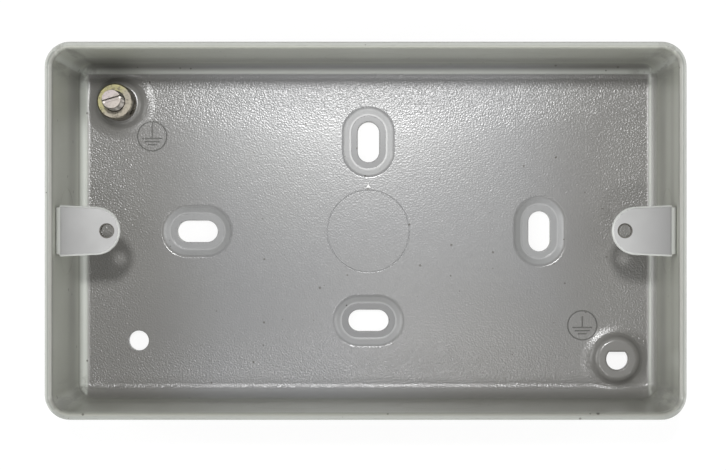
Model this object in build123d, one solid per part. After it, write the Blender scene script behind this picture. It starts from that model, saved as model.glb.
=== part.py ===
from build123d import *
import os
from math import cos, radians, sin, tan

# Two-gang surface back box for wiring accessories, drawn from one sheet of steel.
# Lengths are in millimetres and angles in degrees.
# X runs along the box, Y across it, and Z from the wall behind it out to the faceplate.
# The origin is the middle of the back, in the plane of the four feet.

# Drawn shell
sheet = 1.7
box_width = 87.3
box_depth = 40.0
corner_radius = 5.8
floor_fillet = 2.7
rim_inner_round = 0.9
rim_outer_chamfer = 0.3

# Lugs that take the faceplate screws
faceplate_screw_centres = 120.6
lug_reach = 15.1
lug_hole_to_tip = 3.0
lug_hole_radius = 1.45
lug_below_rim = 3.5
lug_sheet = 1.5
lug_root_width = 12.1
lug_end_width = 11.2
lug_bend_radius = 0.2
lug_notch_width = 1.0
lug_notch_length = 1.1
lug_edge_chamfer = 0.45
lug_leg_height = 4.8
lug_leg_to_knockout = 0.6

# Wall-fixing slots, each in an oval dish that stands out at the back as a foot
slot_width = 5.4
slot_length = 10.1
slot_from_middle_x = 43.0
slot_from_middle_y = 22.45
dish_margin = 1.9
dish_depth = 1.2
dish_slope = 35.0
dish_edge_round = 1.5

# Round bosses pressed inwards for the earth terminals
boss_top_radius = 5.3
boss_height = 1.8
boss_slope = 60.0
boss_top_round = 1.5
boss_base_chamfer = 0.45
boss_to_end_fillet = 0.6
boss_to_side_fillet = 0.45
boss_hole_radius = 2.7
boss_hole_flat = 1.8

# Plain hole in the floor
cord_hole_radius = 2.5
cord_hole_to_end_wall = 14.75
cord_hole_to_side_wall = 14.5

# Knockouts, each held by the web under a ring that is scored into the inner face
knockout_radius = 10.3
score_width = 0.45
score_depth = 0.8
upper_knockout_pitch = 36.7
lower_knockout_pitch = 35.0
pry_nib_width = 1.3
pry_nib_length = 1.2
pry_nib_height = 0.35
pry_nib_gap = 0.35

# Earth terminal, a brass post riveted through its boss, with a clamping screw
post_radius = 4.4
post_height = 7.2
post_edge_chamfer = 0.3
spigot_clearance = 0.05
rivet_head_radius = 3.6
rivet_head_height = 0.9
rivet_head_chamfer = 0.4
wire_hole_radius = 2.0
wire_hole_height = 3.2
wire_hole_angle = -18.0
screw_radius = 2.5
screw_clearance = 0.05
screw_bore_floor = 0.9
screw_bore_countersink = 0.6
screw_stand = 5.5
screw_length = 8.1
screw_chamfer = 0.3
screw_slot_width = 0.95
screw_slot_depth = 1.2
screw_slot_angle = 17.0

# How far a cutting body runs past the metal that it cuts
overrun = 1.0

# Levels and plan sizes that follow
back_z = dish_depth
floor_z = back_z + sheet
boss_top_z = floor_z + boss_height
lug_top_z = box_depth - lug_below_rim
lug_foot_z = lug_top_z - lug_leg_height
wall_knockout_z = lug_foot_z - lug_leg_to_knockout - knockout_radius
inner_length = faceplate_screw_centres + 2 * (lug_reach - lug_hole_to_tip)
inner_width = box_width - 2 * sheet
box_length = inner_length + 2 * sheet
slot_straight = slot_length - slot_width
boss_base_radius = boss_top_radius + boss_height / tan(radians(boss_slope))
boss_foot_radius = boss_base_radius + boss_base_chamfer
boss_x = inner_length / 2 - floor_fillet - boss_to_end_fillet - boss_foot_radius
boss_y = inner_width / 2 - floor_fillet - boss_to_side_fillet - boss_foot_radius

# Centre and lengthwise turn of each slot
slots = [
    (0, slot_from_middle_y, 90),
    (slot_from_middle_x, 0, 90),
    (-slot_from_middle_x, 0, 0),
    (0, -slot_from_middle_y, 0),
]
bosses = [(boss_x, -boss_y), (-boss_x, boss_y)]


def drawn_tray():
    """Tray with rounded corners, a filleted floor and a rounded rim."""
    outside = extrude(RectangleRounded(box_length, box_width, corner_radius), box_depth - back_z)
    outside = fillet(outside.edges().group_by(Axis.Z)[0], floor_fillet + sheet)
    mouth = RectangleRounded(inner_length, inner_width, corner_radius - sheet)
    inside = extrude(mouth, box_depth - floor_z + overrun)
    inside = fillet(inside.edges().group_by(Axis.Z)[0], floor_fillet)
    tray = Pos(0, 0, back_z) * outside - Pos(0, 0, floor_z) * inside
    rim = tray.faces().sort_by(Axis.Z)[-1]
    tray = fillet(rim.inner_wires()[0].edges(), rim_inner_round)
    rim = tray.faces().sort_by(Axis.Z)[-1]
    return chamfer(rim.outer_wire().edges(), rim_outer_chamfer)


def soft_bend(before, corner, after, bend_radius):
    """Curve that rounds one corner of a pressing's section, tangent to both of its sides."""
    corner = Vector(corner)
    to_before = (Vector(before) - corner).normalized()
    to_after = (Vector(after) - corner).normalized()
    half_turn = radians(180 - to_before.get_angle(to_after)) / 2
    reach = bend_radius * tan(half_turn)
    return Bezier(corner + to_before * reach, corner, corner + to_after * reach)


def oval_press(half_section):
    """Oval body along X whose section, seen from either end, is a half section and its mirror image."""
    section = Plane.YZ * half_section
    round_end = revolve(section, Axis.Z, 180)
    straight = extrude(section + mirror(section, Plane.XZ), slot_straight / 2, both=True)
    far_end = Pos(slot_straight / 2, 0, 0) * mirror(round_end, Plane.YZ)
    return straight + Pos(-slot_straight / 2, 0, 0) * round_end + far_end


def foot_half_section(end_radius):
    """Sloped foot, smallest at z = 0."""
    root_radius = end_radius + dish_depth / tan(radians(dish_slope))
    root = (root_radius, dish_depth)
    return make_face(Polyline((0, 0), (end_radius, 0), root, (0, dish_depth), close=True))


def dish_half_section(end_radius):
    """Body that cuts a sloped dish with its bottom at z = 0 and a soft lip at its mouth."""
    bottom_edge = (end_radius, 0)
    mouth_edge = (end_radius + dish_depth / tan(radians(dish_slope)), dish_depth)
    lip = soft_bend(bottom_edge, mouth_edge, (mouth_edge[0] + overrun, dish_depth), dish_edge_round)
    top_z = dish_depth + overrun
    return make_face([
        Polyline((0, top_z), (0, 0), bottom_edge, lip @ 0),
        lip,
        Polyline(lip @ 1, ((lip @ 1).X, top_z), (0, top_z)),
    ])


def place_slots(shape):
    """One copy of a shape at each slot, turned to the slot's length."""
    return [Pos(x, y, 0) * Rot(0, 0, turn) * shape for x, y, turn in slots]


def press_dishes(tray):
    """Dish round each slot inside, a foot behind it, and the slot through both."""
    dish_radius = slot_width / 2 + dish_margin
    foot_radius = dish_radius + sheet * tan(radians(dish_slope / 2))
    foot = oval_press(foot_half_section(foot_radius))
    dish = oval_press(dish_half_section(dish_radius))
    hole = extrude(SlotOverall(slot_length, slot_width), sheet + 2 * overrun)
    tray = tray + place_slots(foot)
    tray = tray - place_slots(Pos(0, 0, sheet) * dish)
    return tray - place_slots(Pos(0, 0, -overrun) * hole)


def boss_section():
    """Half section of a raised boss above the floor at z = 0, rooted in the middle of the sheet."""
    slope = radians(boss_slope)
    chamfer_top = (boss_base_radius - boss_base_chamfer * cos(slope), boss_base_chamfer * sin(slope))
    shoulder = (boss_top_radius, boss_height)
    top_bend = soft_bend(chamfer_top, shoulder, (0, boss_height), boss_top_round)
    return Plane.XZ * make_face([
        Polyline((boss_foot_radius, -sheet / 2), (boss_foot_radius, 0), chamfer_top, top_bend @ 0),
        top_bend,
        Polyline(top_bend @ 1, (0, boss_height), (0, -sheet / 2), (boss_foot_radius, -sheet / 2)),
    ])


def d_shape(radius, flat):
    """Round outline with one flat on its +Y side."""
    return Circle(radius) - Pos(0, flat + radius) * Rectangle(2 * radius, 2 * radius)


def press_bosses(tray):
    """Raised boss in two opposite corners, hollow behind, with a D-shaped hole."""
    raised = revolve(boss_section(), Axis.Z)
    pocket_top_radius = boss_top_radius - sheet * tan(radians(boss_slope / 2))
    pocket_mouth_radius = pocket_top_radius + boss_height / tan(radians(boss_slope))
    pocket = Cone(
        pocket_mouth_radius, pocket_top_radius, boss_height, align=(Align.CENTER, Align.CENTER, Align.MIN)
    )
    hole = extrude(d_shape(boss_hole_radius, boss_hole_flat), sheet + 2 * overrun)
    for x, y in bosses:
        tray = tray + Pos(x, y, floor_z) * raised
        tray = tray - Pos(x, y, back_z) * pocket
        tray = tray - Pos(x, y, boss_top_z - sheet - overrun) * hole
    return tray


def score_ring():
    """Body that cuts a V-shaped ring into the face at its own z = 0, from above."""
    section = Plane.XZ * make_face(Polyline(
        (knockout_radius - score_width / 2, 0),
        (knockout_radius, -score_depth),
        (knockout_radius + score_width / 2, 0),
        (knockout_radius + score_width / 2, overrun),
        (knockout_radius - score_width / 2, overrun),
        close=True,
    ))
    return revolve(section, Axis.Z)


def knockout_planes():
    """Plane on the sheet's inner face at each knockout, looking into the box."""
    planes = [Plane((0, 0, floor_z))]
    for side in (-1, 1):
        planes.append(Plane((side * inner_length / 2, 0, wall_knockout_z), z_dir=(-side, 0, 0)))
        lower = (side * lower_knockout_pitch / 2, -inner_width / 2, wall_knockout_z)
        planes.append(Plane(lower, z_dir=(0, 1, 0)))
    for step in (-1, 0, 1):
        upper = (step * upper_knockout_pitch, inner_width / 2, wall_knockout_z)
        planes.append(Plane(upper, z_dir=(0, -1, 0)))
    return planes


def score_knockouts(tray):
    """Score every knockout, and raise the pry nib beside the one in the floor."""
    ring = score_ring()
    for plane in knockout_planes():
        tray = tray - plane * ring
    nib_base = knockout_radius + score_width / 2 + pry_nib_gap
    nib_tip = (0, nib_base + pry_nib_length)
    nib = Polygon((-pry_nib_width / 2, nib_base), (pry_nib_width / 2, nib_base), nib_tip, align=None)
    return tray + Pos(0, 0, floor_z) * extrude(nib, pry_nib_height)


def box_shell():
    """The drawn, pressed and punched shell."""
    tray = drawn_tray()
    tray = press_dishes(tray)
    tray = press_bosses(tray)
    tray = score_knockouts(tray)
    cord_hole = Cylinder(cord_hole_radius, sheet + 2 * overrun)
    hole_x = -inner_length / 2 + cord_hole_to_end_wall
    hole_y = -inner_width / 2 + cord_hole_to_side_wall
    return tray - Pos(hole_x, hole_y, floor_z - sheet / 2) * cord_hole


def faceplate_lug():
    """Bracket inside the +X wall: a tongue with a tapped hole, bent from a short leg on the wall."""
    wall_x = inner_length / 2
    tip_x = wall_x - lug_reach
    corner = (Align.MAX, Align.MAX)
    tongue = Pos(wall_x, lug_top_z) * Rectangle(lug_reach, lug_sheet, align=corner)
    leg = Pos(wall_x, lug_top_z) * Rectangle(lug_sheet, lug_leg_height, align=corner)
    section = tongue + leg
    outer_corner = section.vertices().sort_by_distance((wall_x, lug_top_z))[0]
    section = fillet(outer_corner, lug_bend_radius + lug_sheet)
    inner_corner = section.vertices().sort_by_distance((wall_x - lug_sheet, lug_top_z - lug_sheet))[0]
    section = fillet(inner_corner, lug_bend_radius)
    bracket = extrude(Plane.XZ * section, lug_root_width / 2, both=True)

    end_radius = lug_end_width / 2
    root = Line((wall_x, -lug_root_width / 2), (wall_x, lug_root_width / 2))
    end = Pos(tip_x + end_radius, 0) * Circle(end_radius)
    outline = make_hull([root] + end.edges())
    bracket = bracket & Pos(0, 0, lug_foot_z) * extrude(outline, lug_leg_height)
    tongue_top = bracket.faces().sort_by(Axis.Z)[-1]
    bend_edge = tongue_top.edges().sort_by(Axis.X)[-1]
    bracket = chamfer(tongue_top.edges() - [bend_edge], lug_edge_chamfer)

    notch = Box(lug_notch_length, 2 * lug_notch_width, lug_leg_height + 2 * overrun)
    notch_x = wall_x - lug_notch_length / 2
    for side in (-1, 1):
        bracket = bracket - Pos(notch_x, side * lug_root_width / 2, lug_top_z - lug_leg_height / 2) * notch
    screw_hole = Cylinder(lug_hole_radius, lug_sheet + 2 * overrun)
    return bracket - Pos(tip_x + lug_hole_to_tip, 0, lug_top_z - lug_sheet / 2) * screw_hole


def earth_terminal_post():
    """Post with a blind bore from the top, a cross hole for the wires, and a D spigot riveted over."""
    base = (Align.CENTER, Align.CENTER, Align.MIN)
    post = Cylinder(post_radius, post_height, align=base)
    post = chamfer(post.edges().group_by(Axis.Z)[-1], post_edge_chamfer)
    bore_radius = screw_radius + screw_clearance
    bore = Pos(0, 0, screw_bore_floor) * Cylinder(bore_radius, post_height, align=base)
    countersink_height = 2 * screw_bore_countersink
    countersink = Pos(0, 0, post_height - screw_bore_countersink) * Cone(
        bore_radius, bore_radius + countersink_height, countersink_height, align=base
    )
    wire_hole = Rot(0, 0, wire_hole_angle) * Rot(0, 90, 0) * Cylinder(wire_hole_radius, 2 * post_radius + overrun)
    post = post - bore - countersink - Pos(0, 0, wire_hole_height) * wire_hole

    spigot_outline = d_shape(boss_hole_radius - spigot_clearance, boss_hole_flat - spigot_clearance)
    spigot = Pos(0, 0, -sheet) * extrude(spigot_outline, sheet)
    head = Cylinder(rivet_head_radius, rivet_head_height, align=base)
    head = chamfer(head.edges().group_by(Axis.Z)[0], rivet_head_chamfer)
    post = post + spigot + Pos(0, 0, -sheet - rivet_head_height) * head
    return Pos(-boss_x, boss_y, boss_top_z) * post


def earth_terminal_screw():
    """Slotted clamping screw, drawn back clear of the wire hole."""
    base = (Align.CENTER, Align.CENTER, Align.MIN)
    screw = Cylinder(screw_radius, screw_length, align=base)
    end_edges = screw.edges().group_by(Axis.Z)[0] + screw.edges().group_by(Axis.Z)[-1]
    screw = chamfer(end_edges, screw_chamfer)
    slot = Box(3 * screw_radius, screw_slot_width, 2 * screw_slot_depth)
    screw = screw - Pos(0, 0, screw_length) * Rot(0, 0, screw_slot_angle) * slot
    screw_tip_z = boss_top_z + post_height + screw_stand - screw_length
    return Pos(-boss_x, boss_y, screw_tip_z) * screw


lug_right = faceplate_lug()
nodes = {
    "box_shell": box_shell(),
    "lug_left": mirror(lug_right, Plane.YZ),
    "lug_right": lug_right,
    "earth_terminal_post": earth_terminal_post(),
    "earth_terminal_screw": earth_terminal_screw(),
}

os.makedirs("parts", exist_ok=True)
for name, shape in nodes.items():
    export_step(shape, f"parts/{name}.step")
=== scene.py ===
from math import cos, radians, sin, tau
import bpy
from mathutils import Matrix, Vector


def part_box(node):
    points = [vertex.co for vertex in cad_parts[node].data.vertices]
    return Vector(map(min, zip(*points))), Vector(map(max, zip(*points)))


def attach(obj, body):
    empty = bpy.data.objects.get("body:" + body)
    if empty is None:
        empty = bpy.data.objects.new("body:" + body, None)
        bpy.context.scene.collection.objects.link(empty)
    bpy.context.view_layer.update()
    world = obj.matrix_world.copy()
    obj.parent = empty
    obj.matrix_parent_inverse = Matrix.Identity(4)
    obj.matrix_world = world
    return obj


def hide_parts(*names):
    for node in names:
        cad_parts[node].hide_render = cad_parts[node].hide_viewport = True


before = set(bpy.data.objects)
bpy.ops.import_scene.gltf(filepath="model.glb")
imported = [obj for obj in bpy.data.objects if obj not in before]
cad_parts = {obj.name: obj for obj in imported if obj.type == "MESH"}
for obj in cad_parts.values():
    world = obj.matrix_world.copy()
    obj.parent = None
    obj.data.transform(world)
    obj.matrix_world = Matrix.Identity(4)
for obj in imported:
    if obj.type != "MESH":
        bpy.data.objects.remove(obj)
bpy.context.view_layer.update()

from types import SimpleNamespace

import bmesh
import bpy
from bpy.props import FloatProperty, FloatVectorProperty, PointerProperty
from mathutils import Matrix, Vector

bl_info = {
    "name": "Two-gang steel back box",
    "version": (1, 0, 0),
    "blender": (4, 5, 0),
    "location": "3D View > Sidebar > Back box",
    "description": "Finishes the drawn back box: paint, stamped earth marks, tapped lugs and earth terminal",
    "category": "Object",
}

MM = 0.001

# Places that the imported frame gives
SHELL_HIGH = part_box("box_shell")[1]
POST_LOW, POST_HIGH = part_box("earth_terminal_post")
SCREW_LOW, SCREW_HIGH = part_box("earth_terminal_screw")
LUG_LOW, LUG_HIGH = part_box("lug_right")
TERMINAL_AXIS = (POST_LOW + POST_HIGH) / 2

# Sheet-metal sizes that the finish follows
SHEET = 1.7 * MM
HALF_X = SHELL_HIGH.x - SHEET
HALF_Y = SHELL_HIGH.y - SHEET
INNER_CORNER = 4.1 * MM
FLOOR_TOP = 2.9 * MM
DISH_BOTTOM = SHEET
BOSS_TOP = 4.7 * MM
SCORE_DEPTH = 0.8 * MM
NIB_MIDDLE = 11.5 * MM
NIB_REACH = 1.5 * MM
NIB_TOP = FLOOR_TOP + 0.35 * MM
FACEPLATE_SCREW_X = 60.3 * MM
LUG_SHEET = 1.5 * MM

# Depth of a scored ring once paint has filled it, and the radius inside which a lug's hole stays sharp
PAINTED_SCORE = 0.13 * MM
SHARP_HOLE = 2 * MM

# How near two places lie to be the same, how square a flat face is, and the angles that count as edges
SAME_POINT = 0.0005 * MM
SAME_PLACE = 0.002 * MM
FLAT = 0.99995
FLAT_DEGREES = 0.5
LUG_EDGE_DEGREES = 30
SHARP_DEGREES = 32
SMOOTH_DEGREES = 36.5
ROUND_SEGMENTS = 3

# How far the normal of an upright or a sloped face beside a level edge rises, from and to
UPRIGHT = (0.0, 0.01)
SLOPED = (0.5, 0.95)

# Earth mark: how its stamp narrows, its facets, its stem and its bars, as (middle, half length)
MARK_TAPER = 0.5
MARK_CLEARANCE = 0.2 * MM
MARK_STEPS = 64
MARK_STEM_LOW = -0.55 * MM
MARK_BARS = ((-0.55 * MM, 2.5 * MM), (-1.35 * MM, 1.9 * MM), (-2.1 * MM, 1.15 * MM))


def length(label, note, default):
    """A length in metres that the sidebar shows."""
    return FloatProperty(name=label, description=note, default=default, unit="LENGTH", precision=5)


def spot(label, note, *default):
    """A place in metres that the sidebar shows."""
    return FloatVectorProperty(
        name=label, description=note, subtype="XYZ", unit="LENGTH", size=len(default), default=default
    )


def colour(label, note, *default):
    """A linear colour that the sidebar shows."""
    return FloatVectorProperty(
        name=label, description="Colour of " + note, subtype="COLOR", size=3, min=0.0, max=1.0,
        default=default,
    )


def amount(label, note, default, low=0.0, high=1.0):
    """A plain number that the sidebar shows."""
    return FloatProperty(name=label, description=note, default=default, min=low, max=high)


def watts(label, default):
    """The power of a lamp that the sidebar shows."""
    return amount(label, f"Power of the {label.lower()} in watts", default, high=50.0)


class BackBoxPaint(bpy.types.PropertyGroup):
    """Stoved grey paint on the shell and the lugs, with the colours of its painted shade and painted
    highlights.
    """
    shade: colour("Paint", "the shell's paint", 0.385, 0.395, 0.345)
    # Thinner paint in random clouds, and painted shade: the walls' reflection bands, the lower wall's foot
    # and the rim's inner round
    thin_and_painted_shade: colour("Thin paint", "the walls' paint where it is thin", 0.25, 0.25, 0.225)
    # Painted shade: the floor's paint is darker than the walls'
    floor_shade: colour("Floor paint", "the paint on the floor", 0.235, 0.236, 0.240)
    # Painted shade towards the floor's ends and its lower right
    ends_painted_shade: colour("End paint", "the floor towards its ends", 0.175, 0.170, 0.160)
    # Painted highlight: strips in the fillets and a line under the lower rim
    fillet_painted_highlight: colour("Fillet paint", "the thick paint in the fillets", 0.50, 0.52, 0.48)
    corner_shade: colour("Corner patches", "the patches in the corners", 0.2, 0.2, 0.18)
    # Painted shade on the rim's inner half, and a painted highlight on its outer half
    rim_painted_shade: colour("Rim paint", "the rim's inner half", 0.225, 0.235, 0.215)
    rim_painted_highlight: colour("Rim edge paint", "the rim's outer half", 0.37, 0.38, 0.355)
    # Painted light on the dishes' slopes, paler in the upper dish, and on the end dishes' flats
    upper_dish_painted_light: colour("Dish paint", "the upper dish's slopes", 0.53, 0.532, 0.538)
    other_dish_painted_light: colour("Dull dish paint", "the other dishes' slopes", 0.36, 0.362, 0.366)
    # Painted highlight on the pry nib and along the dishes' feet
    nib_painted_highlight: colour("Nib paint", "the thick paint on the pry nib", 0.85, 0.85, 0.85)
    lug_shade: colour("Lug paint", "the lugs' paint", 0.385, 0.385, 0.382)
    # Thinner lug paint in random clouds, and painted shade towards the walls
    lug_wear_and_painted_shade: colour("Thin lug paint", "the lugs' paint where it is thin", 0.225, 0.225, 0.222)
    # Painted highlight on the lugs' edges
    lug_painted_highlight: colour("Lug edge paint", "the paint on the lugs' edges", 0.52, 0.53, 0.51)
    # Dust specks, and painted shade in the lugs' tapped holes
    speck_and_painted_shade: colour("Specks", "the dust caught in the paint", 0.07, 0.065, 0.055)
    # Painted shade in the stamped mark lines
    mark_painted_shade: colour("Mark lines", "the paint in the stamped marks", 0.12, 0.12, 0.11)
    roughness: amount("Floor roughness", "Roughness of the floor's paint", 0.2)
    wall_roughness: amount("Wall roughness", "Roughness of the walls' paint", 0.32)
    lug_roughness: amount("Lug roughness", "Roughness of the lugs' paint", 0.3)
    gloss: amount("Gloss", "Strength of the walls' mirror light", 0.8)
    floor_gloss: amount("Floor gloss", "Strength of the floor's mirror light", 0.46)
    dish_gloss: amount("Dish gloss", "Share of the floor's gloss on the dishes", 0.45)
    peel_size: length("Orange peel size", "Distance between two ripples on the floor", 0.42 * MM)
    peel_depth: length("Orange peel depth", "Height of the ripples on the floor", 0.075 * MM)
    boss_swell: length("Boss swell", "Height of the floor's slow rise to a boss", 0.4 * MM)
    speck_spacing: length("Speck spacing", "Rough distance between two specks", 6 * MM)


class BackBoxShell(bpy.types.PropertyGroup):
    """Rounds of the punched and drawn edges, and the two stamped earth marks."""
    mark_left: spot("Upper left mark", "Centre of the mark by the terminal post", -54.26 * MM, 23.84 * MM)
    mark_right: spot("Lower right mark", "Centre of the mark by the spare boss", 53.73 * MM, -23.6 * MM)
    punched_round: length("Punched edge round", "Round on the edges of the punched holes", 0.22 * MM)
    drawn_round: length("Boss hole round", "Round on the edges of the bosses' holes", 0.42 * MM)
    dish_round: length("Dish round", "Round where a dish meets its flat bottom", 0.35 * MM)
    nib_round: length("Nib round", "Round on the pry nib's upper edges", 0.15 * MM)
    mark_radius: length("Mark radius", "Radius of the circle of an earth mark", 3.66 * MM)
    short_stem: length("Short stem", "Height of the lower right mark's stem", 2.3 * MM)
    mark_line: length("Mark line", "Width of the stamped line", 0.4 * MM)
    mark_depth: length("Mark depth", "Depth of the stamped line", 0.3 * MM)


class BackBoxLugs(bpy.types.PropertyGroup):
    """Edges, roots and tapped threads of the two lugs."""
    thread_radius: length("Thread radius", "Outer radius of the tapped thread", 1.75 * MM)
    core_radius: length("Core radius", "Inner radius of the tapped thread", 1.45 * MM)
    thread_pitch: length("Thread pitch", "Rise of the tapped thread in one turn", 0.6 * MM)
    edge_round: length("Edge round", "Round on the lug's edges", 0.2 * MM)
    leg_stretch: amount("Leg stretch", "Width of a leg's root over the CAD's", 1.08, high=1.5)
    root_reach: length("Root reach", "Reach of a leg's root from the outer wall", 1.15 * MM)
    root_half: length("Root half width", "Half width inside which a root is widened", 5.4 * MM)


class BackBoxTerminal(bpy.types.PropertyGroup):
    """Brass post and its clamping screw."""
    brass: colour("Brass", "the post", 0.235, 0.22, 0.105)
    # Tarnish in random clouds, and painted shade on the lower right side of the post and the screw
    tarnish: colour("Tarnish", "the tarnish on the post and the screw", 0.215, 0.195, 0.175)
    plating: colour("Plating", "the plated screw", 0.22, 0.195, 0.195)
    # Painted light on the screw's thread
    thread_painted_light: colour("Flank", "the worn thread of the screw", 0.46, 0.43, 0.40)
    # Painted shade in the post's bore
    bore_painted_shade: colour("Grease", "the greasy bore of the post", 0.10, 0.088, 0.055)
    screw_radius: length("Screw radius", "Outer radius of the screw's thread", 2.48 * MM)
    thread_depth: length("Thread depth", "Depth of the screw's thread", 0.42 * MM)
    thread_pitch: length("Thread pitch", "Rise of the screw's thread in one turn", 0.8 * MM)
    end_chamfer: length("End chamfer", "Chamfer on the ends of the screw", 0.15 * MM)
    old_mouth: length("Old mouth", "Radius that holds the CAD's mouth of the bore", 3.6 * MM)
    mouth_radius: length("Mouth radius", "Radius of the finished mouth of the bore", 2.62 * MM)
    slot_width: length("Slot width", "Width of the driver slot", 0.95 * MM)
    slot_depth: length("Slot depth", "Depth of the driver slot", 1.2 * MM)
    slot_angle: FloatProperty(
        name="Slot angle", description="Turn of the driver slot from the long side",
        default=radians(17), subtype="ANGLE",
    )


class BackBoxStudio(bpy.types.PropertyGroup):
    """Floor, surroundings, lamps and camera."""
    floor_size: length("Floor size", "Side of the square floor", 3.0)
    floor_shade: colour("Floor", "the floor in light and shadow", 0.8, 0.8, 0.8)
    floor_glow: amount("Floor glow", "White that the floor adds to its own light", 0.86)
    surroundings: amount("Surroundings", "Strength of the plain white surroundings", 0.23, high=2.0)
    key_watts: watts("Key lamp", 2.4)
    key_size: length("Key size", "Side of the key lamp and the fill lamp", 45 * MM)
    key_place: spot("Key place", "Where the key lamp hangs", -18 * MM, 142 * MM, 712 * MM)
    fill_watts: watts("Fill lamp", 0.45)
    fill_place: spot("Fill place", "Where the fill lamp hangs", 26 * MM, -131 * MM, 712 * MM)
    panel_size: length("Panel size", "Side of each soft panel round the box", 420 * MM)
    panel_distance: length("Panel distance", "From the middle of the box to each panel", 420 * MM)
    panel_height: length("Panel height", "Height of the middle of each panel", 230 * MM)
    left_watts: watts("Left panel", 1.6)
    right_watts: watts("Right panel", 1.15)
    upper_watts: watts("Upper panel", 0.02)
    lower_watts: watts("Lower panel", 0.9)
    camera_place: spot("Camera place", "Where the camera looks down from", 7.6 * MM, -1.44 * MM, 458 * MM)
    camera_lens: FloatProperty(
        name="Lens", description="Focal length in millimetres", default=89.85, unit="CAMERA",
    )
    camera_shift_x: amount("Shift X", "Sideways shift of the lens", -0.049, low=-1.0)
    camera_shift_y: amount("Shift Y", "Upward shift of the lens", 0.00275, low=-1.0)


# Shapes

def as_mesh(shape, name):
    """Mesh of a finished bmesh."""
    mesh = bpy.data.meshes.new(name)
    shape.to_mesh(mesh)
    shape.free()
    return mesh


def as_object(mesh, name):
    """Object at the origin that shows a mesh."""
    piece = bpy.data.objects.new(name, mesh)
    bpy.context.scene.collection.objects.link(piece)
    return piece


def as_piece(shape, name):
    """Object at the origin that shows a finished bmesh."""
    return as_object(as_mesh(shape, name), name)


def merged_copy(node):
    """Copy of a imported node's shape with its loose triangles joined."""
    shape = bmesh.new()
    shape.from_mesh(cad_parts[node].data)
    bmesh.ops.remove_doubles(shape, verts=shape.verts, dist=SAME_POINT)
    return shape


def cut(piece, cutter_mesh):
    """Take a closed shape out of a piece."""
    cutter = as_object(cutter_mesh, piece.name + "_cutter")
    tool = piece.modifiers.new("Cut", "BOOLEAN")
    tool.operation = "DIFFERENCE"
    tool.solver = "EXACT"
    tool.use_self = True
    tool.object = cutter
    bpy.context.view_layer.update()
    graph = bpy.context.evaluated_depsgraph_get()
    before = len(piece.data.polygons)
    result = bpy.data.meshes.new_from_object(piece.evaluated_get(graph))
    if len(result.polygons) == before:
        raise RuntimeError(f"{piece.name}: the cut changed nothing")
    piece.modifiers.remove(tool)
    old = piece.data
    piece.data = result
    result.name = piece.name
    bpy.data.meshes.remove(old)
    bpy.data.objects.remove(cutter)
    bpy.data.meshes.remove(cutter_mesh)


def smooth(piece):
    """Shade a piece smooth between its sharp edges, with its flat faces kept flat."""
    piece.data.shade_smooth()
    piece.data.set_sharp_from_angle(angle=radians(SHARP_DEGREES))
    weights = piece.modifiers.new("Flat faces", "WEIGHTED_NORMAL")
    weights.keep_sharp = True


def is_flat(normal):
    """True for a face square to one of the box's axes."""
    return max(abs(part) for part in normal) > FLAT


def round_normals(piece):
    """Smooth shading over the rounds that leaves the box's flat faces exactly flat."""
    mesh = piece.data
    mesh.shade_smooth()
    alike = cos(radians(SMOOTH_DEGREES))
    around = [[] for _ in mesh.vertices]
    for face in mesh.polygons:
        for corner in face.loop_indices:
            around[mesh.loops[corner].vertex_index].append((corner, face.normal.copy(), face.area))
    normals = [None] * len(mesh.loops)
    for corners in around:
        for corner, normal, _ in corners:
            group = [(other, area) for _, other, area in corners if other.dot(normal) > alike]
            flat = [other for other, _ in group if is_flat(other)]
            if flat:
                normals[corner] = max(flat, key=normal.dot)
            else:
                total = Vector()
                for other, area in group:
                    total += other * area
                normals[corner] = total.normalized()
    mesh.normals_split_custom_set(normals)


def join_flats(shape):
    """Join the triangles of each flat face."""
    bmesh.ops.dissolve_limit(
        shape, angle_limit=radians(FLAT_DEGREES), use_dissolve_boundaries=False,
        verts=shape.verts, edges=shape.edges, delimit=set(),
    )


def round_edges(shape, edges, reach):
    """Round some edges of a shape."""
    bmesh.ops.bevel(
        shape, geom=edges, offset=reach, offset_type="OFFSET", affect="EDGES",
        segments=ROUND_SEGMENTS, profile=0.5, material=-1, clamp_overlap=True,
    )


def level_edges(shape, height, steepness):
    """Edges at a height between a level face and one whose normal rises between two values."""
    low, high = steepness
    found = []
    for edge in shape.edges:
        elsewhere = any(abs(vert.co.z - height) > SAME_PLACE for vert in edge.verts)
        if len(edge.link_faces) != 2 or elsewhere:
            continue
        rises = sorted(abs(face.normal.z) for face in edge.link_faces)
        nib_foot = height == FLOOR_TOP and all(
            max(abs(vert.co.x), abs(vert.co.y - NIB_MIDDLE)) < NIB_REACH for vert in edge.verts
        )
        if rises[1] > FLAT and low <= rises[0] <= high and not nib_foot:
            found.append(edge)
    return found


def fill_scores(shape):
    """Let the paint fill the knockouts' scored rings up to a shallow line."""
    fill = SCORE_DEPTH - PAINTED_SCORE
    walls = ((0, HALF_X), (1, HALF_Y))
    for vert in shape.verts:
        if abs(vert.co.z - (FLOOR_TOP - SCORE_DEPTH)) < SAME_PLACE:
            vert.co.z += fill
        for axis, wall in walls:
            if abs(abs(vert.co[axis]) - wall - SCORE_DEPTH) < SAME_PLACE and vert.co.z < LUG_LOW.z:
                vert.co[axis] -= fill if vert.co[axis] > 0 else -fill


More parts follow.
